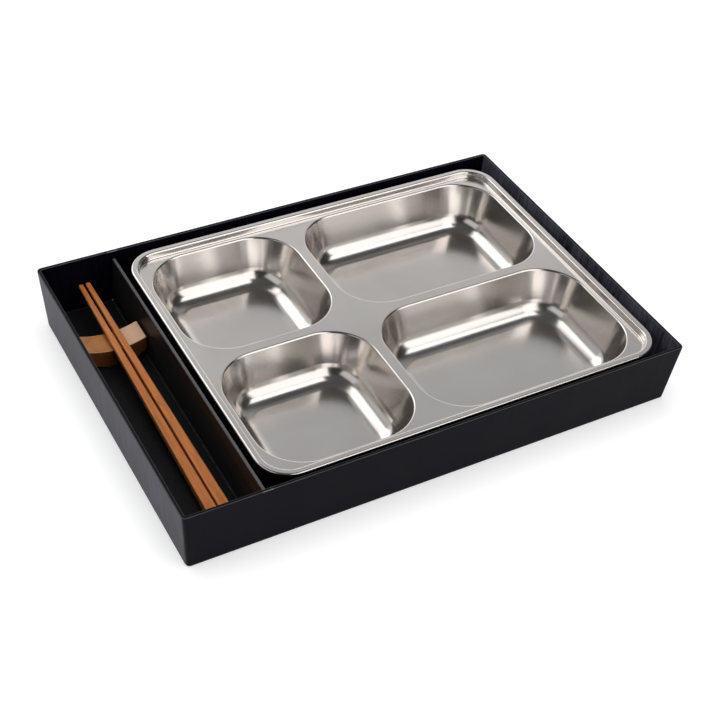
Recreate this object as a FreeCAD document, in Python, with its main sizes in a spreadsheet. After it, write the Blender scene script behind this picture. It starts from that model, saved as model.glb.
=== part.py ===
"""Bento lunch box: a black box, a lift-out partition, a four-bowl steel tray and chopsticks on a rest.

Millimetres. The origin is under the middle of the box, on the surface that it stands on.
+X runs along the box towards the tray, +Y to the back and +Z up.
"""
import FreeCAD, Part
import math
import os
import Sketcher
from FreeCAD import Vector

# Driving sizes: millimetres, and degrees where the name ends in draft or turn
SIZES = {
    # Box: outside sizes are at the rim, and the walls lean in towards the base
    "box_length": 360,
    "box_width": 250,
    "box_height": 47,
    "box_draft": 4,
    "box_corner": 3,
    "box_inner_corner": 1.5,
    "wall_thick": 2.4,
    "floor_thick": 2.6,
    "foot_height": 4,
    "rim_round": 0.8,
    "base_round": 1.2,
    # Partition, thickest at its foot, and the groove between low kerbs that the foot stands in
    "bay_width": 46,
    "divider_thick": 2,
    "divider_draft": 2.5,
    "divider_drop": 4.7,
    "divider_round": 0.6,
    "kerb_width": 1.2,
    "kerb_height": 1.2,
    "kerb_round": 0.6,
    "groove_depth": 1,
    "groove_clear": 0.2,
    # Tray: gaps to what stands round it, the flange, and the step down to the deck
    "tray_gap_divider": 3.4,
    "tray_gap_wall": 6.5,
    "tray_gap_ends": 4.4,
    "tray_drop": 3,
    "tray_corner": 22.5,
    "sheet_thick": 0.8,
    "lip_drop": 2.6,
    "lip_round": 1.2,
    "flange_width": 3.6,
    "shoulder_round": 1.4,
    "step_depth": 4.6,
    "step_draft": 10,
    "root_round": 1.2,
    # Bowls of the tray, measured where the deck starts to bend down
    "bowl_margin": 8.2,
    "bowl_web": 6.4,
    "bowl_left_length": 110,
    "bowl_corner": 33,
    "bowl_edge_round": 1.4,
    "bowl_draft": 18,
    "bowl_floor_round": 15,
    # Chopstick rest: a bowed block with a hollow top and a small flat underneath
    "rest_length": 41,
    "rest_depth": 18.3,
    "rest_height": 13.4,
    "rest_hollow_radius": 55,
    "rest_belly_radius": 30,
    "rest_flat": 13,
    "rest_round": 0.8,
    "rest_gap_divider": 0.4,
    "rest_reach": 176,
    # Chopsticks
    "stick_gap_front": 8,
    "stick_gap_back": 0.4,
    "stick_butt": 7.3,
    "stick_tip": 3.3,
    "stick_round": 1.2,
    "stick_end_round": 1.2,
    "stick_gap_divider": 8.7,
    "stick_spacing": 8.6,
    "left_stick_turn": 0.5,
    "right_stick_turn": 1.4,
    "seat_clear": 0.2,
}

START, END, CENTRE = 1, 2, 3
ORIGIN_POINT = (-1, START)
X_AXIS, Y_AXIS = -1, -2
LEVEL_TOLERANCE = 1e-4


class Size:
    """A value worked out from the sheet, kept together with the formula that binds it."""

    def __init__(self, value, formula):
        self.value = value
        self.formula = formula

    def __add__(self, other):
        other = as_size(other)
        return Size(self.value + other.value, f"({self.formula} + {other.formula})")

    def __sub__(self, other):
        other = as_size(other)
        return Size(self.value - other.value, f"({self.formula} - {other.formula})")

    def __mul__(self, other):
        other = as_size(other)
        return Size(self.value * other.value, f"({self.formula} * {other.formula})")

    def __truediv__(self, other):
        other = as_size(other)
        return Size(self.value / other.value, f"({self.formula} / {other.formula})")

    def __neg__(self):
        return Size(-self.value, f"(0 - {self.formula})")


def as_size(number):
    return number if isinstance(number, Size) else Size(number, str(number))


def sine(angle):
    return Size(math.sin(math.radians(angle.value)), f"sin({angle.formula} * 1 deg)")


def cosine(angle):
    return Size(math.cos(math.radians(angle.value)), f"cos({angle.formula} * 1 deg)")


def tangent(angle):
    return Size(math.tan(math.radians(angle.value)), f"tan({angle.formula} * 1 deg)")


def root(square):
    return Size(math.sqrt(square.value), f"sqrt({square.formula})")


def arc_tangent(ratio):
    return Size(math.degrees(math.atan(ratio.value)), f"(atan({ratio.formula}) / 1 deg)")


doc = FreeCAD.newDocument("BentoLunchBox")
sheet = doc.addObject("Spreadsheet::Sheet", "Sizes")
size = {}
for row, (name, number) in enumerate(SIZES.items(), start=1):
    sheet.set(f"A{row}", name)
    sheet.set(f"B{row}", str(number))
    sheet.setAlias(f"B{row}", name)
    size[name] = Size(float(number), f"Sizes.{name}")
doc.recompute()

# Levels and half sizes that several pieces share
floor_top = size["foot_height"] + size["floor_thick"]
lean = tangent(size["box_draft"])
rim_half_length = size["box_length"] / 2 - size["wall_thick"]
rim_half_width = size["box_width"] / 2 - size["wall_thick"]


def inner_half_length(level):
    return rim_half_length - lean * (size["box_height"] - level)


def inner_half_width(level):
    return rim_half_width - lean * (size["box_height"] - level)


divider_top = size["box_height"] - size["divider_drop"]
divider_height = divider_top - floor_top
divider_foot = size["divider_thick"] + tangent(size["divider_draft"]) * divider_height * 2
divider_left = size["bay_width"] - inner_half_length(floor_top)
divider_middle = divider_left + divider_foot / 2


def bind(thing, formulas):
    """Tie properties of an object to the sheet."""
    for path, value in formulas.items():
        thing.setExpression(path, as_size(value).formula)


def place(body, x, y, z, yaw=0, roll=0):
    """Tie a sub-part's place to the sheet."""
    spot = "; ".join(as_size(value).formula for value in (x, y, z))
    turn = f"{as_size(yaw).formula}; 0; {as_size(roll).formula}"
    body.setExpression("Placement", f"placement(vector({spot}); rotation({turn}))")


def new_body(name):
    return doc.addObject("PartDesign::Body", name)


def attach(body, thing, role, x=0, y=0, z=0):
    """Put a sketch or primitive on one of the body's planes, moved along the plane's own axes."""
    plane = next(each for each in body.Origin.OriginFeatures if each.Role == role)
    thing.AttachmentSupport = [(plane, "")]
    thing.MapMode = "FlatFace"
    bind(thing, {
        "AttachmentOffset.Base.x": x,
        "AttachmentOffset.Base.y": y,
        "AttachmentOffset.Base.z": z,
    })


def new_sketch(body, name, role, x=0, y=0, z=0):
    drawing = body.newObject("Sketcher::SketchObject", name)
    attach(body, drawing, role, x, y, z)
    return drawing


def relate(drawing, kind, *items):
    drawing.addConstraint(Sketcher.Constraint(kind, *items))


def measure(drawing, kind, items, value):
    """Add a dimension to a sketch and tie it to the sheet."""
    index = drawing.addConstraint(Sketcher.Constraint(kind, *items, value.value))
    drawing.setExpression(f"Constraints[{index}]", value.formula)


def line(start, end):
    return Part.LineSegment(Vector(*start), Vector(*end)), START, END


def arc(centre, radius, start, end):
    """An arc from one angle to another, in degrees; it runs clockwise where the angle falls."""
    circle = Part.Circle(Vector(*centre), Vector(0, 0, 1), radius)
    curve = Part.ArcOfCircle(circle, math.radians(min(start, end)), math.radians(max(start, end)))
    return (curve, START, END) if end > start else (curve, END, START)


def draw_outline(drawing, pieces, corners):
    """Draw a closed outline; pieces run on smoothly except after those listed in corners."""
    for curve, enter, leave in pieces:
        drawing.addGeometry(curve)
    for index, (curve, enter, leave) in enumerate(pieces):
        following = (index + 1) % len(pieces)
        kind = "Coincident" if index in corners else "Tangent"
        relate(drawing, kind, index, leave, following, pieces[following][1])


def draw_polygon(drawing, corners):
    """Draw a closed outline of straight lines and tie each corner to the sketch's middle."""
    points = [Vector(x.value, y.value) for x, y in corners]
    first = drawing.GeometryCount
    for i, point in enumerate(points):
        drawing.addGeometry(Part.LineSegment(point, points[(i + 1) % len(points)]))
    for i, (x, y) in enumerate(corners):
        corner = (first + i, START)
        relate(drawing, "Coincident", *corner, first + (i - 1) % len(corners), END)
        for kind, distance in (("DistanceX", x), ("DistanceY", y)):
            if distance.value < 0:
                measure(drawing, kind, (*corner, *ORIGIN_POINT), -distance)
            else:
                measure(drawing, kind, (*ORIGIN_POINT, *corner), distance)


def rounded_rectangle(body, name, level, length, width, radius, x=0, y=0):
    """A rectangle with round corners, centred at x, y and lying level in the body."""
    drawing = new_sketch(body, name, "XY_Plane", x, y, level)
    a, b, r = length.value / 2, width.value / 2, radius.value
    pieces = [
        line((r - a, -b), (a - r, -b)),
        arc((a - r, r - b), r, -90, 0),
        line((a, r - b), (a, b - r)),
        arc((a - r, b - r), r, 0, 90),
        line((a - r, b), (r - a, b)),
        arc((r - a, b - r), r, 90, 180),
        line((-a, b - r), (-a, r - b)),
        arc((r - a, r - b), r, 180, 270),
    ]
    draw_outline(drawing, pieces, corners=())
    bottom, corner, right, right_corner, top, far_corner, left, left_corner = range(len(pieces))
    for level_line in (bottom, top):
        relate(drawing, "Horizontal", level_line)
    for upright in (right, left):
        relate(drawing, "Vertical", upright)
    for other in (right_corner, far_corner, left_corner):
        relate(drawing, "Equal", corner, other)
    relate(drawing, "Symmetric", corner, CENTRE, far_corner, CENTRE, *ORIGIN_POINT)
    measure(drawing, "Radius", (corner,), radius)
    measure(drawing, "DistanceX", (left, START, right, START), length)
    measure(drawing, "DistanceY", (bottom, START, top, START), width)
    return drawing


def add_pad(body, name, drawing, length, downwards=False, both_ways=False):
    pad = body.newObject("PartDesign::Pad", name)
    pad.Profile = drawing
    pad.Reversed = downwards
    pad.Midplane = both_ways
    bind(pad, {"Length": length})
    doc.recompute()
    return pad


def add_sweep(body, name, section, path):
    """Carry a section round a closed path."""
    sweep = body.newObject("PartDesign::AdditivePipe", name)
    sweep.Profile = section
    sweep.Spine = (path, [f"Edge{number}" for number in range(1, path.GeometryCount + 1)])
    doc.recompute()
    return sweep


def add_wedge(body, name, kind, bottom, top, front, back, side):
    """A block with leaning sides; front, back and side give where they stand at a level."""
    wedge = body.newObject(f"PartDesign::{kind}Wedge", name)
    attach(body, wedge, "XZ_Plane")
    bind(wedge, {
        "Ymin": bottom,
        "Ymax": top,
        "Xmin": -side(bottom),
        "Xmax": side(bottom),
        "Zmin": -back(bottom),
        "Zmax": -front(bottom),
        "X2min": -side(top),
        "X2max": side(top),
        "Z2min": -back(top),
        "Z2max": -front(top),
    })
    doc.recompute()
    return wedge


def add_box(body, name, kind, length, width, height, x, y, z):
    """Add or cut a level box whose lowest corner is at x, y, z."""
    box = body.newObject(f"PartDesign::{kind}Box", name)
    attach(body, box, "XY_Plane", x, y, z)
    bind(box, {"Length": length, "Width": width, "Height": height})
    doc.recompute()
    return box


def add_through_cut(body, name, drawing):
    """Cut a drawing's outline right through the body, both ways."""
    cut = body.newObject("PartDesign::Pocket", name)
    cut.Profile = drawing
    cut.Midplane = True
    cut.Type = "ThroughAll"
    doc.recompute()
    return cut


def add_fillet(body, name, radius, chosen):
    """Round the edges of the body's last feature that the test picks."""
    base = body.Tip
    names = [f"Edge{i}" for i, edge in enumerate(base.Shape.Edges, start=1) if chosen(edge)]
    fillet = body.newObject("PartDesign::Fillet", name)
    fillet.Base = (base, names)
    bind(fillet, {"Radius": radius})
    doc.recompute()
    return fillet


def edge_is_level(level):
    """Pick the edges that lie flat at a level."""
    def chosen(edge):
        box = edge.BoundBox
        return max(abs(box.ZMin - level.value), abs(box.ZMax - level.value)) < LEVEL_TOLERANCE
    return chosen


def edge_climbs(low, high):
    """Pick the edges that climb from one level to another."""
    def chosen(edge):
        box = edge.BoundBox
        return max(abs(box.ZMin - low.value), abs(box.ZMax - high.value)) < LEVEL_TOLERANCE
    return chosen


def make_box_shell():
    """The box: leaning walls, a floor held up on a skirt, and a kerbed groove for the partition."""
    body = new_body("box_shell")
    ground = as_size(0)
    rim = size["box_height"]
    wall = size["wall_thick"]

    def outer_side(level):
        return size["box_length"] / 2 - lean * (rim - level)

    def outer_back(level):
        return size["box_width"] / 2 - lean * (rim - level)

    def outer_front(level):
        return -outer_back(level)

    def inner_front(level):
        return -inner_half_width(level)

    add_wedge(body, "outside", "Additive", ground, rim, outer_front, outer_back, outer_side)
    add_fillet(body, "outside_corners", size["box_corner"], edge_climbs(ground, rim))
    add_wedge(body, "inside", "Subtractive", floor_top, rim, inner_front, inner_half_width,
              inner_half_length)
    add_fillet(body, "inside_corners", size["box_inner_corner"], edge_climbs(floor_top, rim))
    add_fillet(body, "floor_edge", size["box_inner_corner"], edge_is_level(floor_top))
    recess_half_length = outer_side(ground) - wall
    recess_half_width = outer_back(ground) - wall
    add_box(body, "underside", "Subtractive", recess_half_length * 2, recess_half_width * 2,
            size["foot_height"], -recess_half_length, -recess_half_width, ground)
    add_fillet(body, "rim_edges", size["rim_round"], edge_is_level(rim))

    def on_base_outline(edge):
        outside = abs(edge.CenterOfMass.x) > recess_half_length.value
        outside = outside or abs(edge.CenterOfMass.y) > recess_half_width.value
        return outside and edge_is_level(ground)(edge)

    add_fillet(body, "base_edge", size["base_round"], on_base_outline)
    groove_left = divider_left - size["groove_clear"]
    groove_width = divider_foot + size["groove_clear"] * 2
    kerb_half_width = inner_half_width(floor_top) - size["box_inner_corner"]
    add_box(body, "kerbs", "Additive", groove_width + size["kerb_width"] * 2, kerb_half_width * 2,
            size["kerb_height"], groove_left - size["kerb_width"], -kerb_half_width, floor_top)
    add_fillet(body, "kerb_edges", size["kerb_round"], edge_is_level(floor_top + size["kerb_height"]))
    groove_half_width = inner_half_width(floor_top) + size["groove_depth"]
    add_box(body, "divider_groove", "Subtractive", groove_width, groove_half_width * 2,
            rim - floor_top, groove_left, -groove_half_width, floor_top - size["groove_depth"])
    place(body, 0, 0, 0)
    return body


def make_divider_panel():
    """The partition: a plate with a tongue in the groove and ends that follow the walls."""
    body = new_body("divider_panel")
    tongue = size["groove_depth"] - size["groove_clear"]
    foot_end = inner_half_width(floor_top) + size["groove_depth"] - size["groove_clear"]
    top_end = inner_half_width(divider_top) - size["groove_clear"]
    notch_top = tongue + size["groove_depth"] / lean
    height = tongue + divider_height
    foot_side = divider_foot / 2
    top_side = size["divider_thick"] / 2
    bottom = as_size(0)
    section = new_sketch(body, "section", "XZ_Plane")
    draw_polygon(section, [
        (-foot_side, bottom),
        (foot_side, bottom),
        (foot_side, tongue),
        (top_side, height),
        (-top_side, height),
        (-foot_side, tongue),
    ])
    add_pad(body, "plate", section, foot_end * 2, both_ways=True)
    ends = new_sketch(body, "ends", "YZ_Plane")
    draw_polygon(ends, [(foot_end, notch_top), (foot_end, height), (top_end, height)])
    draw_polygon(ends, [(-foot_end, notch_top), (-top_end, height), (-foot_end, height)])
    add_through_cut(body, "leaning_ends", ends)
    add_fillet(body, "top_edges", size["divider_round"], edge_is_level(height))
    place(body, divider_middle, 0, floor_top - tongue)
    return body


def bend_run(upper, lower, depth, draft):
    """How far a sheet moves sideways as it bends down over one radius and out again over another."""
    straight = (depth - (upper + lower) * (as_size(1) - sine(draft))) / cosine(draft)
    return (upper + lower) * cosine(draft) + straight * sine(draft)


def bend_pieces(x, y, upper, lower, run, depth, draft, thick):
    """The top and the underside of a sheet that bends down from x, y and runs level again."""
    lower_centre = (x + run, y - depth + lower)
    upper_centre = (x, y - upper)

    def on_arc(centre, radius, angle):
        turn = math.radians(angle)
        return centre[0] + radius * math.cos(turn), centre[1] + radius * math.sin(turn)

    half_turn = 180
    top_wall = [on_arc(upper_centre, upper, draft), on_arc(lower_centre, lower, half_turn + draft)]
    under_wall = [on_arc(lower_centre, lower + thick, half_turn + draft),
                  on_arc(upper_centre, upper - thick, draft)]
    top = [
        arc(upper_centre, upper, 90, draft),
        line(*top_wall),
        arc(lower_centre, lower, half_turn + draft, 270),
    ]
    underside = [
        arc(lower_centre, lower + thick, 270, half_turn + draft),
        line(*under_wall),
        arc(upper_centre, upper - thick, draft, 90),
    ]
    return top, underside


def tie_bend(drawing, top, underside, upper, lower, run, depth):
    """Tie the drawn bend to the sheet; top and underside give the numbers of its pieces."""
    sheet_thick = size["sheet_thick"]
    top_upper, top_wall, top_lower = top
    under_lower, under_wall, under_upper = underside
    relate(drawing, "Coincident", top_upper, CENTRE, under_upper, CENTRE)
    relate(drawing, "Coincident", top_lower, CENTRE, under_lower, CENTRE)
    measure(drawing, "Radius", (top_upper,), upper)
    measure(drawing, "Radius", (under_upper,), upper - sheet_thick)
    measure(drawing, "Radius", (top_lower,), lower)
    measure(drawing, "Radius", (under_lower,), lower + sheet_thick)
    measure(drawing, "DistanceX", (top_upper, CENTRE, top_lower, CENTRE), run)
    measure(drawing, "DistanceY", (top_lower, END, top_upper, END), depth)


def draw_flange_section(drawing, step_run):
    """The tray's turned-down lip, its flange and the step to the deck, from the outside in."""
    thick = size["sheet_thick"]
    lip, drop, flat = size["lip_round"].value, size["lip_drop"].value, size["flange_width"].value
    top, underside = bend_pieces(flat, 0, size["shoulder_round"].value, size["root_round"].value,
                                 step_run.value, size["step_depth"].value, size["step_draft"].value,
                                 thick.value)
    inside = flat + step_run.value
    deck = -size["step_depth"].value
    pieces = [
        line((0, -drop), (0, -lip)),
        arc((lip, -lip), lip, 180, 90),
        line((lip, 0), (flat, 0)),
        *top,
        line((inside, deck), (inside, deck - thick.value)),
        *underside,
        line((flat, -thick.value), (lip, -thick.value)),
        arc((lip, -lip), lip - thick.value, 90, 180),
        line((thick.value, -lip), (thick.value, -drop)),
        line((thick.value, -drop), (0, -drop)),
    ]
    (outside, lip_top, flange, upper, wall, lower, joint, under_lower, under_wall, under_upper,
     under_flange, lip_under, inner, edge) = range(len(pieces))
    draw_outline(drawing, pieces, corners=(lower, joint, inner, edge))
    tie_bend(drawing, (upper, wall, lower), (under_lower, under_wall, under_upper),
             size["shoulder_round"], size["root_round"], step_run, size["step_depth"])
    relate(drawing, "PointOnObject", outside, START, Y_AXIS)
    relate(drawing, "PointOnObject", flange, START, X_AXIS)
    for upright in (outside, joint, inner):
        relate(drawing, "Vertical", upright)
    for level_line in (flange, edge):
        relate(drawing, "Horizontal", level_line)
    relate(drawing, "Vertical", lower, END, lower, CENTRE)
    relate(drawing, "Coincident", lip_top, CENTRE, lip_under, CENTRE)
    measure(drawing, "Radius", (lip_top,), size["lip_round"])
    measure(drawing, "Radius", (lip_under,), size["lip_round"] - thick)
    measure(drawing, "DistanceX", (*ORIGIN_POINT, upper, CENTRE), size["flange_width"])
    measure(drawing, "DistanceY", (outside, START, *ORIGIN_POINT), size["lip_drop"])


def draw_bowl_section(drawing, bowl_run, depth):
    """A bowl's rounded edge, leaning wall and rounded foot, from the deck in."""
    thick = size["sheet_thick"].value
    top, underside = bend_pieces(0, 0, size["bowl_edge_round"].value, size["bowl_floor_round"].value,
                                 bowl_run.value, depth.value, size["bowl_draft"].value, thick)
    inside = bowl_run.value
    pieces = [
        *top,
        line((inside, -depth.value), (inside, -depth.value - thick)),
        *underside,
        line((0, -thick), (0, 0)),
    ]
    (upper, wall, lower, foot, under_lower, under_wall, under_upper, joint) = range(len(pieces))
    draw_outline(drawing, pieces, corners=(lower, foot, under_upper, joint))
    tie_bend(drawing, (upper, wall, lower), (under_lower, under_wall, under_upper),
             size["bowl_edge_round"], size["bowl_floor_round"], bowl_run, depth)
    relate(drawing, "Coincident", upper, END, *ORIGIN_POINT)
    for upright in (foot, joint):
        relate(drawing, "Vertical", upright)
    relate(drawing, "Vertical", upper, END, upper, CENTRE)
    relate(drawing, "Vertical", lower, END, lower, CENTRE)


def make_steel_tray():
    """The tray: one drawn sheet with a turned-down lip, a stepped flange and four bowls."""
    body = new_body("steel_tray")
    flange_level = size["box_height"] - size["tray_drop"]
    left = divider_middle + size["divider_thick"] / 2 + size["tray_gap_divider"]
    right = inner_half_length(flange_level) - size["tray_gap_wall"]
    length = right - left
    width = (inner_half_width(flange_level) - size["tray_gap_ends"]) * 2
    thick = size["sheet_thick"]
    deck = -size["step_depth"]
    depth = flange_level - floor_top - size["step_depth"] - thick

    step_run = bend_run(size["shoulder_round"], size["root_round"], size["step_depth"], size["step_draft"])
    deck_inset = size["flange_width"] + step_run
    deck_outline = rounded_rectangle(body, "deck_outline", deck, length - deck_inset * 2,
                                     width - deck_inset * 2, size["tray_corner"] - deck_inset)
    add_pad(body, "deck", deck_outline, thick, downwards=True)

    rim_outline = rounded_rectangle(body, "rim_outline", 0, length, width, size["tray_corner"])
    rim_section = new_sketch(body, "rim_section", "YZ_Plane", -width / 2, 0,
                             size["tray_corner"] - length / 2)
    draw_flange_section(rim_section, step_run)
    add_sweep(body, "rim", rim_section, rim_outline)

    bowl_width = (width - size["bowl_margin"] * 2 - size["bowl_web"]) / 2
    left_length = size["bowl_left_length"]
    right_length = length - size["bowl_margin"] * 2 - size["bowl_web"] - left_length
    row = (bowl_width + size["bowl_web"]) / 2
    left_centre = size["bowl_margin"] + (left_length - length) / 2
    right_centre = (length - right_length) / 2 - size["bowl_margin"]
    bowl_run = bend_run(size["bowl_edge_round"], size["bowl_floor_round"], depth, size["bowl_draft"])
    bowls = [
        ("front_left", left_centre, -row, left_length),
        ("front_right", right_centre, -row, right_length),
        ("back_left", left_centre, row, left_length),
        ("back_right", right_centre, row, right_length),
    ]
    for name, x, y, bowl_length in bowls:
        mouth = rounded_rectangle(body, f"{name}_mouth", deck, bowl_length, bowl_width,
                                  size["bowl_corner"], x, y)
        add_through_cut(body, f"{name}_opening", mouth)
        section = new_sketch(body, f"{name}_section", "YZ_Plane", y - bowl_width / 2, deck,
                             x - bowl_length / 2 + size["bowl_corner"])
        draw_bowl_section(section, bowl_run, depth)
        add_sweep(body, f"{name}_wall", section, mouth)
        floor_outline = rounded_rectangle(body, f"{name}_floor_outline", deck - depth,
                                          bowl_length - bowl_run * 2, bowl_width - bowl_run * 2,
                                          size["bowl_corner"] - bowl_run, x, y)
        add_pad(body, f"{name}_floor", floor_outline, thick, downwards=True)
    place(body, (left + right) / 2, 0, flange_level)
    return body


stick_butt_y = size["stick_gap_front"] - inner_half_width(floor_top)
rest_x = divider_left - size["rest_gap_divider"] - size["rest_length"] / 2
rest_y = stick_butt_y + size["rest_reach"]


def make_chopstick_rest():
    """The rest: a bowed wooden block, hollow on top and round underneath, with a small flat foot."""
    body = new_body("chopstick_rest")
    drawing = new_sketch(body, "bow", "XZ_Plane")
    hollow, belly = size["rest_hollow_radius"], size["rest_belly_radius"]
    hollow_height = size["rest_height"] + hollow
    half, flat = size["rest_length"].value / 2, size["rest_flat"].value / 2
    belly_height = math.sqrt(belly.value ** 2 - flat ** 2)
    hollow_middle, belly_middle = (0, hollow_height.value), (0, belly_height)
    hollow_turn = math.degrees(math.asin(half / hollow.value))
    belly_turn = math.degrees(math.asin(half / belly.value))
    flat_turn = math.degrees(math.asin(flat / belly.value))
    down = 270
    end_top = hollow_height.value - math.sqrt(hollow.value ** 2 - half ** 2)
    end_foot = belly_height - math.sqrt(belly.value ** 2 - half ** 2)
    pieces = [
        arc(hollow_middle, hollow.value, down - hollow_turn, down + hollow_turn),
        line((half, end_top), (half, end_foot)),
        arc(belly_middle, belly.value, down + belly_turn, down + flat_turn),
        line((flat, 0), (-flat, 0)),
        arc(belly_middle, belly.value, down - flat_turn, down - belly_turn),
        line((-half, end_foot), (-half, end_top)),
    ]
    draw_outline(drawing, pieces, corners=range(len(pieces)))
    top, right, right_belly, foot, left_belly, left = range(len(pieces))
    relate(drawing, "Coincident", right_belly, CENTRE, left_belly, CENTRE)
    for curve in (top, right_belly):
        relate(drawing, "PointOnObject", curve, CENTRE, Y_AXIS)
    for upright in (right, left):
        relate(drawing, "Vertical", upright)
    for end in (START, END):
        relate(drawing, "PointOnObject", foot, end, X_AXIS)
    relate(drawing, "Horizontal", top, START, top, END)
    relate(drawing, "Equal", right_belly, left_belly)
    measure(drawing, "Radius", (top,), hollow)
    measure(drawing, "Radius", (right_belly,), belly)
    measure(drawing, "DistanceX", (foot, END, foot, START), size["rest_flat"])
    measure(drawing, "DistanceY", (*ORIGIN_POINT, top, CENTRE), hollow_height)
    measure(drawing, "DistanceX", (top, START, top, END), size["rest_length"])
    add_pad(body, "block", drawing, size["rest_depth"], both_ways=True)
    lowest_top = size["rest_height"].value
    add_fillet(body, "upper_edges", size["rest_round"], lambda edge: edge.BoundBox.ZMax > lowest_top)
    place(body, rest_x, rest_y, floor_top)
    return body


def make_chopstick(name, butt_x, turn, outer_side):
    """A square, tapering stick: its butt lies on the floor and its thin end leans on the rest."""
    body = new_body(name)
    length = inner_half_width(floor_top + size["rest_height"]) - size["stick_gap_back"] - stick_butt_y

    def across(distance):
        return size["stick_butt"] - (size["stick_butt"] - size["stick_tip"]) * distance / length

    def underside(distance):
        return as_size(0)

    def upper_face(distance):
        return -across(distance)

    def half_across(distance):
        return across(distance) / 2

    butt_end, tip_end = as_size(0), length
    add_wedge(body, "taper", "Additive", butt_end, tip_end, upper_face, underside, half_across)
    add_fillet(body, "long_edges", size["stick_round"], edge_climbs(butt_end, tip_end))
    for name_of_end, distance in (("butt", butt_end), ("tip", tip_end)):
        add_fillet(body, f"{name_of_end}_edges", size["stick_end_round"], edge_is_level(distance))

    # The underside is a straight line from the floor to the front edge of the rest's hollow top
    reach = size["rest_reach"] - size["rest_depth"] / 2
    along = reach / cosine(turn)
    middle_there = butt_x - tangent(turn) * reach
    off_centre = (middle_there - rest_x) * outer_side + half_across(along)
    hollow = size["rest_hollow_radius"]
    rise = size["rest_height"] + hollow - root(hollow * hollow - off_centre * off_centre)
    slope = arc_tangent(rise / along)
    upright = 90
    place(body, butt_x, stick_butt_y, floor_top + size["seat_clear"], turn, slope - upright)
    return body


right_butt_x = divider_left - size["stick_gap_divider"] - size["stick_butt"] / 2
left_butt_x = right_butt_x - size["stick_spacing"]

parts = [
    make_box_shell(),
    make_divider_panel(),
    make_steel_tray(),
    make_chopstick_rest(),
    make_chopstick("chopstick_left", left_butt_x, size["left_stick_turn"], -1),
    make_chopstick("chopstick_right", right_butt_x, size["right_stick_turn"], 1),
]
doc.recompute()

for thing in doc.Objects:
    if "Invalid" in thing.State or "Error" in thing.State:
        raise RuntimeError(f"{thing.Label} failed: {thing.State}")
    if thing.isDerivedFrom("Sketcher::SketchObject") and not thing.FullyConstrained:
        raise RuntimeError(f"{thing.Label} is not fully tied down")
for part in parts:
    if part.Shape.isNull() or not part.Shape.isValid() or len(part.Shape.Solids) != 1:
        raise RuntimeError(f"{part.Label} is not one sound solid")

os.makedirs("parts", exist_ok=True)
for part in parts:
    part.Shape.exportStep(f"parts/{part.Label}.step")
    print(part.Label, round(part.Shape.Volume), "mm3")
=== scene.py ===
"""Bento lunch box: finishes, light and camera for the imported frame. Metres."""
import math

import bpy
from mathutils import Matrix, Vector


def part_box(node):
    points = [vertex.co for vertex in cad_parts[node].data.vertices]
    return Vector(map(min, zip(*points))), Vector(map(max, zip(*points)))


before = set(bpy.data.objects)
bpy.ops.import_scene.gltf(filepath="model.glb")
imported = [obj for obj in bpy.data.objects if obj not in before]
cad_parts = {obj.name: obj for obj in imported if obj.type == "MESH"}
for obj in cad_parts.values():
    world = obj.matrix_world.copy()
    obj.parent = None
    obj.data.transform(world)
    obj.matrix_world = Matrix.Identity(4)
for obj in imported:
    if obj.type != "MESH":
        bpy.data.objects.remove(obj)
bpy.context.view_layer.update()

# Colours are linear red, green, blue and alpha. Noise is given as repeats per metre along X, Y and Z.
# A bump is its strength and its depth in metres. A span is the start and the end of a range.

# Camera: where the photograph was taken from, and how far it is turned about its own axis, in degrees
CAMERA_PLACE = (-0.38226, -0.62492, 0.65167)
CAMERA_AZIMUTH = -31.828
CAMERA_ELEVATION = 41.641
CAMERA_ROLL = 4.993
SENSOR_WIDTH = 36.0
LENS = 70.85

# Studio floor, which glows fully where it is far from the object
WHITE = (1, 1, 1, 1)
FLOOR_HALF_SIZE = 12.0
FLOOR_COLOUR = (0.66, 0.66, 0.66, 1.0)
FLOOR_ROUGHNESS = 0.9
FLOOR_GLOW = (0.45, 1.0)
FLOOR_FADE = (1.2, 3.5)

# Studio walls: bright at the back, grey above and dark overhead
WALL_BRIGHT = (1.0, 1.0, 1.0, 1.0)
WALL_DARK = (0.03, 0.03, 0.03, 1.0)
WALL_FACING = (0.15, 0.98, 0.10)
WALL_SPAN = (0.22, 0.80)
SOFFIT_GREY = (0.52, 0.53, 0.545, 1.0)
SOFFIT_SPAN = (0.46, 0.62)
CEILING_DARK = (0.08, 0.08, 0.083, 1.0)
CEILING_SPAN = (0.75, 0.88)

# Lamps: a fill light stays out of reflections
LAMPS = [
    {"name": "back_soft_box", "place": (-0.45, 1.60, 1.55), "aim": (-0.05, 0, 0),
     "width": 1.40, "height": 1.20, "brightness": 1.3, "mirrored": True},
    {"name": "overhead_soft_box", "place": (0.85, -0.66, 1.75), "aim": (0.85, -0.66, 0),
     "width": 1.20, "height": 0.70, "brightness": 1.6, "mirrored": True},
    {"name": "top_fill", "place": (0, 0, 2.2), "aim": (0, 0, 0),
     "width": 1.60, "height": 1.60, "brightness": 3.4, "mirrored": False},
    {"name": "left_fill", "place": (-1.45, 0.30, 1.20), "aim": (-0.15, 0, 0),
     "width": 1.20, "height": 1.00, "brightness": 1.5, "mirrored": False},
    {"name": "left_soft_box", "place": (-1.60, -0.05, 1.15), "aim": (0, 0, 0),
     "width": 1.80, "height": 1.00, "brightness": 0.6, "mirrored": True},
    {"name": "front_soft_box", "place": (0.80, -2.0, 1.70), "aim": (0.80, 0, 1.70),
     "width": 2.60, "height": 3.20, "brightness": 1.35, "mirrored": True},
]

# The range that most of a noise's values fall in
NOISE_SPAN = (0.3, 0.7)
PORE_SPAN = (0.60, 0.72)

# Painted edge highlights: how far below the rim and the partition's top they reach, how far about the
# groove, and how nearly halfway between level and upright the surface is
EDGE_REACH = 0.0008
KERB_REACH = 0.0036
EDGE_SPAN = (0.30, 0.46)
REST_EDGE_SPAN = (0.40, 0.49)

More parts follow.
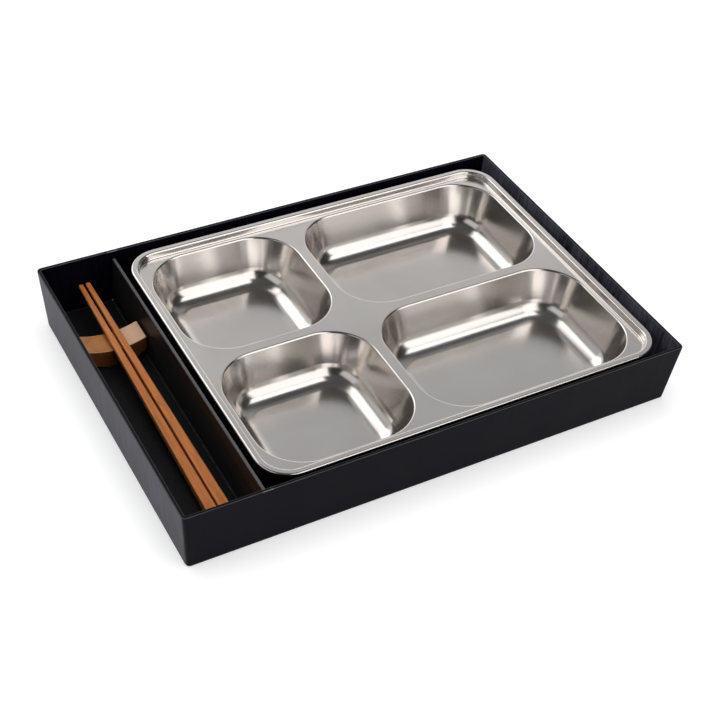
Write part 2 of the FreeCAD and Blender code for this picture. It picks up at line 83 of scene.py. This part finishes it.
# Box
BOX_GRAIN = (620, 620, 16)
BOX_SPECK = (1800, 1800, 1800)
BOX_CLOUD = (34, 34, 14)
BOX_COLOURS = (0.0045, 0.0046, 0.0052, 1), (0.0095, 0.0097, 0.0105, 1)
# Painted shade: a darker, bluer black on the walls that face along Y, at the front and the back
LONG_WALL_SHADE_COLOURS = (0.0012, 0.0011, 0.0036, 1), (0.0032, 0.0031, 0.0080, 1)
LONG_WALL_SPAN = (0.70, 0.95)
# Combed grain on the walls facing along X, painted much lighter as light falling on the end walls
END_WALL_GRAIN_AND_LIGHT_COLOURS = (0.006, 0.006, 0.009, 1), (0.125, 0.125, 0.158, 1)
END_WALL_SPAN = (0.80, 0.95)
END_WALL_GRAIN_SHARE = (0, 0.7)
END_WALL_CLOUD_SHARE = (-0.15, 0.3)
# Painted highlight on the rounded edges of the rim and of the kerbs
BOX_PAINTED_HIGHLIGHT_COLOUR = (0.22, 0.22, 0.235, 1)
BOX_PAINTED_HIGHLIGHT_SHARE = (0.55, 1)
RIM_PAINTED_HIGHLIGHT_SHARE = 0.33
BOX_ROUGHNESS = (0.34, 0.46)
BOX_CLOUD_ROUGHNESS = (-0.03, 0.05)
BOX_PAINTED_HIGHLIGHT_SMOOTHING = 0.1
BOX_SPECK_BUMP = (0.10, 0.00004)
BOX_GRAIN_BUMP = (0.25, 0.00012)
BOX_SPECULAR = 0.04

# Partition
DIVIDER_RUB = (160, 12, 420)
DIVIDER_CLOUD = (14, 14, 14)
DIVIDER_COLOURS = (0.007, 0.007, 0.0075, 1), (0.015, 0.0145, 0.0145, 1)
# Painted highlight along the partition's top edge
DIVIDER_PAINTED_HIGHLIGHT_COLOUR = (0.10, 0.10, 0.103, 1)
DIVIDER_PAINTED_HIGHLIGHT_SHARE = (0.6, 1)
DIVIDER_ROUGHNESS = (0.30, 0.40)
DIVIDER_CLOUD_ROUGHNESS = (-0.02, 0.04)
DIVIDER_RUB_BUMP = (0.04, 0.0001)
DIVIDER_SPECULAR = 0.1

# Tray
STEEL_CLOUD = (22, 22, 22)
STEEL_GRAIN = (900, 900, 900)
STEEL_COLOURS = (0.74, 0.70, 0.665, 1), (0.80, 0.765, 0.73, 1)
STEEL_ROUGHNESS = (0.17, 0.22)
STEEL_GRAIN_ROUGHNESS = (-0.02, 0.02)
STEEL_CLOUD_BUMP = (0.012, 0.002)
STEEL_GRAIN_BUMP = (0.05, 0.00005)

# Chopsticks
STICK_STREAK = (420, 9, 420)
STICK_BAND = (60, 3, 60)
STICK_PORE = (1500, 60, 1500)
STICK_COLOURS = (0.30, 0.090, 0.019, 1), (0.52, 0.172, 0.040, 1)
STICK_BAND_COLOUR = (0.41, 0.125, 0.027, 1)
STICK_PORE_COLOUR = (0.11, 0.036, 0.014, 1)
# Painted highlight along the sticks' rounded upper edges
STICK_PAINTED_HIGHLIGHT_COLOUR = (0.66, 0.36, 0.17, 1)
STICK_PAINTED_HIGHLIGHT_SHARE = (0.1, 0.4)
STICK_ROUGHNESS = (0.36, 0.50)
STICK_STREAK_BUMP = (0.10, 0.0002)
STICK_PORE_BUMP = (-0.10, 0.0001)
STICK_COAT = 0.15
STICK_COAT_ROUGHNESS = 0.25
STICK_SPECULAR = 0.3

# Chopstick rest: painted light pales its top along the box towards one end, and painted shade makes its
# sides darker than its top
REST_LINE = (24, 260, 520)
REST_BAND = (20, 60, 160)
REST_PORE = (90, 1500, 1500)
REST_COLOURS = (0.22, 0.072, 0.016, 1), (0.44, 0.185, 0.050, 1)
REST_BAND_COLOUR = (0.34, 0.128, 0.032, 1)
REST_PORE_COLOUR = (0.22, 0.09, 0.035, 1)
# Painted shade on the rest's sides
REST_SIDE_SHADE_TINT = (0.36, 0.28, 0.24, 1)
REST_TOP_SPAN = (0.15, 0.75)
# Painted light: the rest's top pales towards one end
REST_PAINTED_LIGHT_COLOUR = (0.56, 0.36, 0.235, 1)
REST_PAINTED_LIGHT_SHARE = (0, 0.7)
REST_PAINTED_LIGHT_SPAN = (-0.152, -0.142)
# Painted highlight along the rest's rounded edges
REST_PAINTED_HIGHLIGHT_COLOUR = (0.62, 0.42, 0.26, 1)
REST_PAINTED_HIGHLIGHT_SHARE = (0.3, 0.9)
REST_ROUGHNESS = (0.38, 0.52)
REST_LINE_BUMP = (0.08, 0.0002)

# How much of the wood's bands and pores shows
WOOD_SHARE = (0, 0.5)


class Finish:
    """A node material being put together."""

    def __init__(self, name, owner=None):
        if owner is None:
            owner = bpy.data.materials.new(name)
        owner.use_nodes = True
        self.owner = owner
        self.tree = owner.node_tree
        self.shader = self.tree.nodes.get("Principled BSDF")

    def node(self, kind, inputs=None, **settings):
        """Add a node; inputs are values or sockets, by name or number."""
        made = self.tree.nodes.new(f"ShaderNode{kind}")
        for key, value in settings.items():
            setattr(made, key, value)
        for key, value in (inputs or {}).items():
            self.feed(made.inputs[key], value)
        return made

    def feed(self, socket, value):
        """Link a socket to another, or give it a value."""
        if isinstance(value, bpy.types.NodeSocket):
            self.tree.links.new(value, socket)
        else:
            socket.default_value = value

    def set(self, **values):
        """Set or link the shader's own sockets; an underscore stands for a space."""
        for key, value in values.items():
            self.feed(self.shader.inputs[key.replace("_", " ")], value)

    def noise(self, repeats, detail=3.0, roughness=0.5, distortion=0.0):
        """Noise over the piece's own coordinates, stretched."""
        source = self.node("TexCoord").outputs["Object"]
        vector = self.node("Mapping", {"Vector": source, "Scale": repeats}).outputs[0]
        return self.node("TexNoise", {
            "Vector": vector, "Scale": 1.0, "Detail": detail, "Roughness": roughness,
            "Distortion": distortion,
        }).outputs["Fac"]

    def span(self, value, low, high, start=NOISE_SPAN[0], end=NOISE_SPAN[1]):
        """Carry a value from the range start to end over to low to high."""
        return self.node("MapRange", {
            "Value": value, "From Min": start, "From Max": end, "To Min": low, "To Max": high,
        }).outputs["Result"]

    def math(self, operation, first, second=0.0):
        return self.node("Math", {0: first, 1: second}, operation=operation).outputs[0]

    def blend(self, factor, first, second, kind="MIX"):
        mix = self.node("Mix", data_type="RGBA", blend_type=kind)
        colours = [socket for socket in mix.inputs if socket.type == "RGBA"]
        self.feed(mix.inputs["Factor"], factor)
        self.feed(colours[0], first)
        self.feed(colours[1], second)
        return next(socket for socket in mix.outputs if socket.type == "RGBA")

    def parts(self, kind):
        """The X, Y and Z of the piece's own position or normal."""
        return self.node("SeparateXYZ", {0: self.node("TexCoord").outputs[kind]}).outputs

    def upper_edge(self, start=EDGE_SPAN[0], end=EDGE_SPAN[1]):
        """How far the surface is a rounded edge between a level face and an upright one."""
        normal = self.parts("Normal")
        flat = self.math("MULTIPLY", normal["Z"], normal["Z"])
        sideways = self.math("SQRT", self.math("SUBTRACT", 1.0, flat))
        return self.span(self.math("MULTIPLY", normal["Z"], sideways), 0, 1, start, end)

    def bump(self, height, strength, distance, under=None):
        inputs = {"Height": height, "Strength": strength, "Distance": distance}
        if under is not None:
            inputs["Normal"] = under
        return self.node("Bump", inputs).outputs["Normal"]


def black_plastic():
    """Satin black plastic with a fine upright grain; painted shade darkens the long walls, painted light
    lifts the end walls, and painted highlights pale the rim and the kerbs.
    """
    finish = Finish("satin_black_plastic")
    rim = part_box("box_shell")[1][2]
    groove = sum(corner[0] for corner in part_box("divider_panel")) / 2
    grain = finish.noise(BOX_GRAIN, detail=4, roughness=0.65)
    speck = finish.noise(BOX_SPECK, detail=2)
    cloud = finish.noise(BOX_CLOUD)
    position = finish.parts("Object")
    normal = finish.parts("Normal")

    smooth = finish.blend(finish.span(grain, 0, 1), *BOX_COLOURS)
    # painted shade: the walls facing along Y are painted darker and bluer
    painted_shade_colour = finish.blend(finish.span(grain, 0, 1), *LONG_WALL_SHADE_COLOURS)
    long_wall = finish.span(finish.math("ABSOLUTE", normal["Y"]), 0, 1, *LONG_WALL_SPAN)
    smooth = finish.blend(long_wall, smooth, painted_shade_colour)
    # real combed grain, with painted light lifting the end walls
    comb = finish.math("ADD", finish.span(grain, *END_WALL_GRAIN_SHARE),
                       finish.span(cloud, *END_WALL_CLOUD_SHARE))
    painted_light_grain = finish.blend(comb, *END_WALL_GRAIN_AND_LIGHT_COLOURS)
    end_wall = finish.span(finish.math("ABSOLUTE", normal["X"]), 0, 1, *END_WALL_SPAN)
    colour = finish.blend(end_wall, smooth, painted_light_grain)

    # painted highlight on the rounded edges of the rim and of the kerbs by the groove
    at_rim = finish.math("GREATER_THAN", position["Z"], rim - EDGE_REACH)
    at_rim = finish.math("MULTIPLY", at_rim, RIM_PAINTED_HIGHLIGHT_SHARE)
    off_groove = finish.math("ABSOLUTE", finish.math("SUBTRACT", position["X"], groove))
    at_kerb = finish.math("LESS_THAN", off_groove, KERB_REACH)
    painted_highlight = finish.math("MULTIPLY", finish.upper_edge(), finish.math("MAXIMUM", at_rim, at_kerb))
    painted_highlight = finish.math("MULTIPLY", painted_highlight, finish.span(cloud, *BOX_PAINTED_HIGHLIGHT_SHARE))
    colour = finish.blend(painted_highlight, colour, BOX_PAINTED_HIGHLIGHT_COLOUR)

    rough = finish.math("ADD", finish.span(grain, *BOX_ROUGHNESS), finish.span(cloud, *BOX_CLOUD_ROUGHNESS))
    rough = finish.math("SUBTRACT", rough, finish.math("MULTIPLY", painted_highlight, BOX_PAINTED_HIGHLIGHT_SMOOTHING))
    surface = finish.bump(speck, *BOX_SPECK_BUMP)
    surface = finish.bump(grain, *BOX_GRAIN_BUMP, surface)
    finish.set(Base_Color=colour, Roughness=rough, Normal=surface, Specular_IOR_Level=BOX_SPECULAR)
    return finish.owner


def divider_plastic():
    """Smooth, semi-gloss black plastic, rubbed along its length, with a painted highlight along its top
    edge.
    """
    finish = Finish("glossy_black_plastic")
    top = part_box("divider_panel")[1][2]
    rub = finish.noise(DIVIDER_RUB, detail=4, roughness=0.6)
    cloud = finish.noise(DIVIDER_CLOUD, detail=2)
    colour = finish.blend(finish.span(rub, 0, 1), *DIVIDER_COLOURS)
    # painted highlight along the top edge
    painted_highlight = finish.math("GREATER_THAN", finish.parts("Object")["Z"], top - EDGE_REACH)
    painted_highlight = finish.math("MULTIPLY", painted_highlight, finish.span(cloud, *DIVIDER_PAINTED_HIGHLIGHT_SHARE))
    colour = finish.blend(painted_highlight, colour, DIVIDER_PAINTED_HIGHLIGHT_COLOUR)
    rough = finish.math("ADD", finish.span(rub, *DIVIDER_ROUGHNESS),
                        finish.span(cloud, *DIVIDER_CLOUD_ROUGHNESS))
    normal = finish.bump(rub, *DIVIDER_RUB_BUMP)
    finish.set(Base_Color=colour, Roughness=rough, Normal=normal, Specular_IOR_Level=DIVIDER_SPECULAR)
    return finish.owner


def satin_steel():
    """Drawn stainless steel: satin, with faint cloudiness and a very fine grain."""
    finish = Finish("satin_stainless_steel")
    cloud = finish.noise(STEEL_CLOUD)
    grain = finish.noise(STEEL_GRAIN, roughness=0.6)
    colour = finish.blend(finish.span(cloud, 0, 1), *STEEL_COLOURS)
    rough = finish.math("ADD", finish.span(cloud, *STEEL_ROUGHNESS),
                        finish.span(grain, *STEEL_GRAIN_ROUGHNESS))
    normal = finish.bump(cloud, *STEEL_CLOUD_BUMP)
    normal = finish.bump(grain, *STEEL_GRAIN_BUMP, normal)
    finish.set(Base_Color=colour, Roughness=rough, Normal=normal, Metallic=1.0)
    return finish.owner


def stick_wood():
    """Oiled red-brown wood with grain and short dark pores along the stick, and painted highlights along
    its rounded edges.
    """
    finish = Finish("oiled_stick_wood")
    streak = finish.noise(STICK_STREAK, detail=5, roughness=0.6, distortion=0.4)
    band = finish.noise(STICK_BAND, detail=2)
    pore = finish.noise(STICK_PORE, detail=2)
    colour = finish.blend(finish.span(streak, 0, 1), *STICK_COLOURS)
    colour = finish.blend(finish.span(band, *WOOD_SHARE), colour, STICK_BAND_COLOUR)
    colour = finish.blend(finish.span(pore, *WOOD_SHARE, *PORE_SPAN), colour, STICK_PORE_COLOUR)
    # painted highlight along the rounded upper edges
    painted_highlight = finish.math("MULTIPLY", finish.upper_edge(), finish.span(streak, *STICK_PAINTED_HIGHLIGHT_SHARE))
    colour = finish.blend(painted_highlight, colour, STICK_PAINTED_HIGHLIGHT_COLOUR)
    rough = finish.span(streak, *STICK_ROUGHNESS)
    normal = finish.bump(streak, *STICK_STREAK_BUMP)
    normal = finish.bump(pore, *STICK_PORE_BUMP, normal)
    finish.set(Base_Color=colour, Roughness=rough, Normal=normal, Coat_Weight=STICK_COAT,
               Coat_Roughness=STICK_COAT_ROUGHNESS, Specular_IOR_Level=STICK_SPECULAR)
    return finish.owner


def rest_wood():
    """Pale brown wood whose growth lines run along the rest, with painted shade on its sides, painted light
    towards one end of its top and painted highlights on its edges.
    """
    finish = Finish("oiled_rest_wood")
    line = finish.noise(REST_LINE, detail=4, roughness=0.6, distortion=0.3)
    band = finish.noise(REST_BAND, detail=2)
    pore = finish.noise(REST_PORE, detail=2)
    colour = finish.blend(finish.span(line, 0, 1), *REST_COLOURS)
    colour = finish.blend(finish.span(band, *WOOD_SHARE), colour, REST_BAND_COLOUR)
    colour = finish.blend(finish.span(pore, *WOOD_SHARE, *PORE_SPAN), colour, REST_PORE_COLOUR)
    # painted shade: the sides are painted darker than the top
    painted_side_shade = finish.blend(1.0, colour, REST_SIDE_SHADE_TINT, "MULTIPLY")
    # painted light: the top pales towards one end along the box
    along = finish.parts("Object")["X"]
    painted_light_top = finish.blend(finish.span(along, *REST_PAINTED_LIGHT_SHARE, *REST_PAINTED_LIGHT_SPAN), colour, REST_PAINTED_LIGHT_COLOUR)
    up = finish.parts("Normal")["Z"]
    colour = finish.blend(finish.span(up, 0, 1, *REST_TOP_SPAN), painted_side_shade, painted_light_top)
    # painted highlight along the rounded edges
    painted_highlight = finish.math("MULTIPLY", finish.upper_edge(*REST_EDGE_SPAN), finish.span(line, *REST_PAINTED_HIGHLIGHT_SHARE))
    colour = finish.blend(painted_highlight, colour, REST_PAINTED_HIGHLIGHT_COLOUR)
    rough = finish.span(line, *REST_ROUGHNESS)
    finish.set(Base_Color=colour, Roughness=rough, Normal=finish.bump(line, *REST_LINE_BUMP))
    return finish.owner


def dress(node, material):
    """Give a CAD node a finish."""
    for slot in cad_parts[node].material_slots:
        slot.material = material


def make_floor():
    """A level floor that keeps the object's shadow."""
    mesh = bpy.data.meshes.new("studio_floor")
    h = FLOOR_HALF_SIZE
    mesh.from_pydata([(-h, -h, 0), (h, -h, 0), (h, h, 0), (-h, h, 0)], [], [(0, 1, 2, 3)])
    floor = bpy.data.objects.new("studio_floor", mesh)
    bpy.context.scene.collection.objects.link(floor)
    finish = Finish("studio_floor")
    path = finish.node("LightPath").outputs
    seen = finish.math("MAXIMUM", path["Is Camera Ray"], path["Is Glossy Ray"])
    seen = finish.math("MAXIMUM", seen, path["Is Transmission Ray"])
    place = finish.node("TexCoord").outputs["Object"]
    away = finish.node("VectorMath", {0: place}, operation="LENGTH")
    glow = finish.span(away.outputs["Value"], *FLOOR_GLOW, *FLOOR_FADE)
    glow = finish.math("MULTIPLY", seen, glow)
    finish.set(Base_Color=FLOOR_COLOUR, Roughness=FLOOR_ROUGHNESS, Specular_IOR_Level=0.0,
               Emission_Color=WHITE, Emission_Strength=glow)
    mesh.materials.append(finish.owner)


def make_sky():
    """The studio's walls and ceiling, far off."""
    world = bpy.data.worlds.new("studio")
    bpy.context.scene.world = world
    finish = Finish("studio", world)
    background = finish.tree.nodes["Background"]
    direction = finish.node("TexCoord").outputs["Generated"]
    facing = finish.node("VectorMath", {0: direction, 1: WALL_FACING}, operation="DOT_PRODUCT")
    share = finish.span(facing.outputs["Value"], 0, 1, *WALL_SPAN)
    walls = finish.blend(share, WALL_DARK, WALL_BRIGHT)
    height = finish.node("SeparateXYZ", {0: direction}).outputs["Z"]
    soffit = finish.blend(share, WALL_DARK, SOFFIT_GREY)
    walls = finish.blend(finish.span(height, 0, 1, *SOFFIT_SPAN), walls, soffit)
    ceiling = finish.span(height, 0, 1, *CEILING_SPAN)
    finish.feed(background.inputs["Color"], finish.blend(ceiling, walls, CEILING_DARK))
    background.inputs["Strength"].default_value = 1.0


def make_lamp(name, place, aim, width, height, brightness, mirrored):
    """A soft box of even brightness that faces a point."""
    lamp = bpy.data.lights.new(name, "AREA")
    lamp.shape = "RECTANGLE"
    lamp.size = width
    lamp.size_y = height
    lamp.energy = brightness * math.pi * width * height
    stand = bpy.data.objects.new(name, lamp)
    away = Vector(place) - Vector(aim)
    stand.location = place
    stand.visible_glossy = mirrored
    stand.rotation_mode = "QUATERNION"
    stand.rotation_quaternion = away.to_track_quat("Z", "Y")
    bpy.context.scene.collection.objects.link(stand)


def make_camera():
    """A camera with the photograph's view."""
    data = bpy.data.cameras.new("camera")
    data.sensor_width = SENSOR_WIDTH
    data.lens = LENS
    camera = bpy.data.objects.new("camera", data)
    turn, rise, roll = (math.radians(a) for a in (CAMERA_AZIMUTH, CAMERA_ELEVATION, CAMERA_ROLL))
    level = Matrix.Rotation(turn, 4, "Z") @ Matrix.Rotation(math.pi / 2 - rise, 4, "X")
    camera.matrix_world = Matrix.Translation(CAMERA_PLACE) @ level @ Matrix.Rotation(roll, 4, "Z")
    bpy.context.scene.collection.objects.link(camera)
    bpy.context.scene.camera = camera


dress("box_shell", black_plastic())
dress("divider_panel", divider_plastic())
dress("steel_tray", satin_steel())
dress("chopstick_rest", rest_wood())
stick = stick_wood()
dress("chopstick_left", stick)
dress("chopstick_right", stick)

make_floor()
make_sky()
for lamp in LAMPS:
    make_lamp(**lamp)
make_camera()
bpy.context.scene.view_settings.view_transform = "Standard"
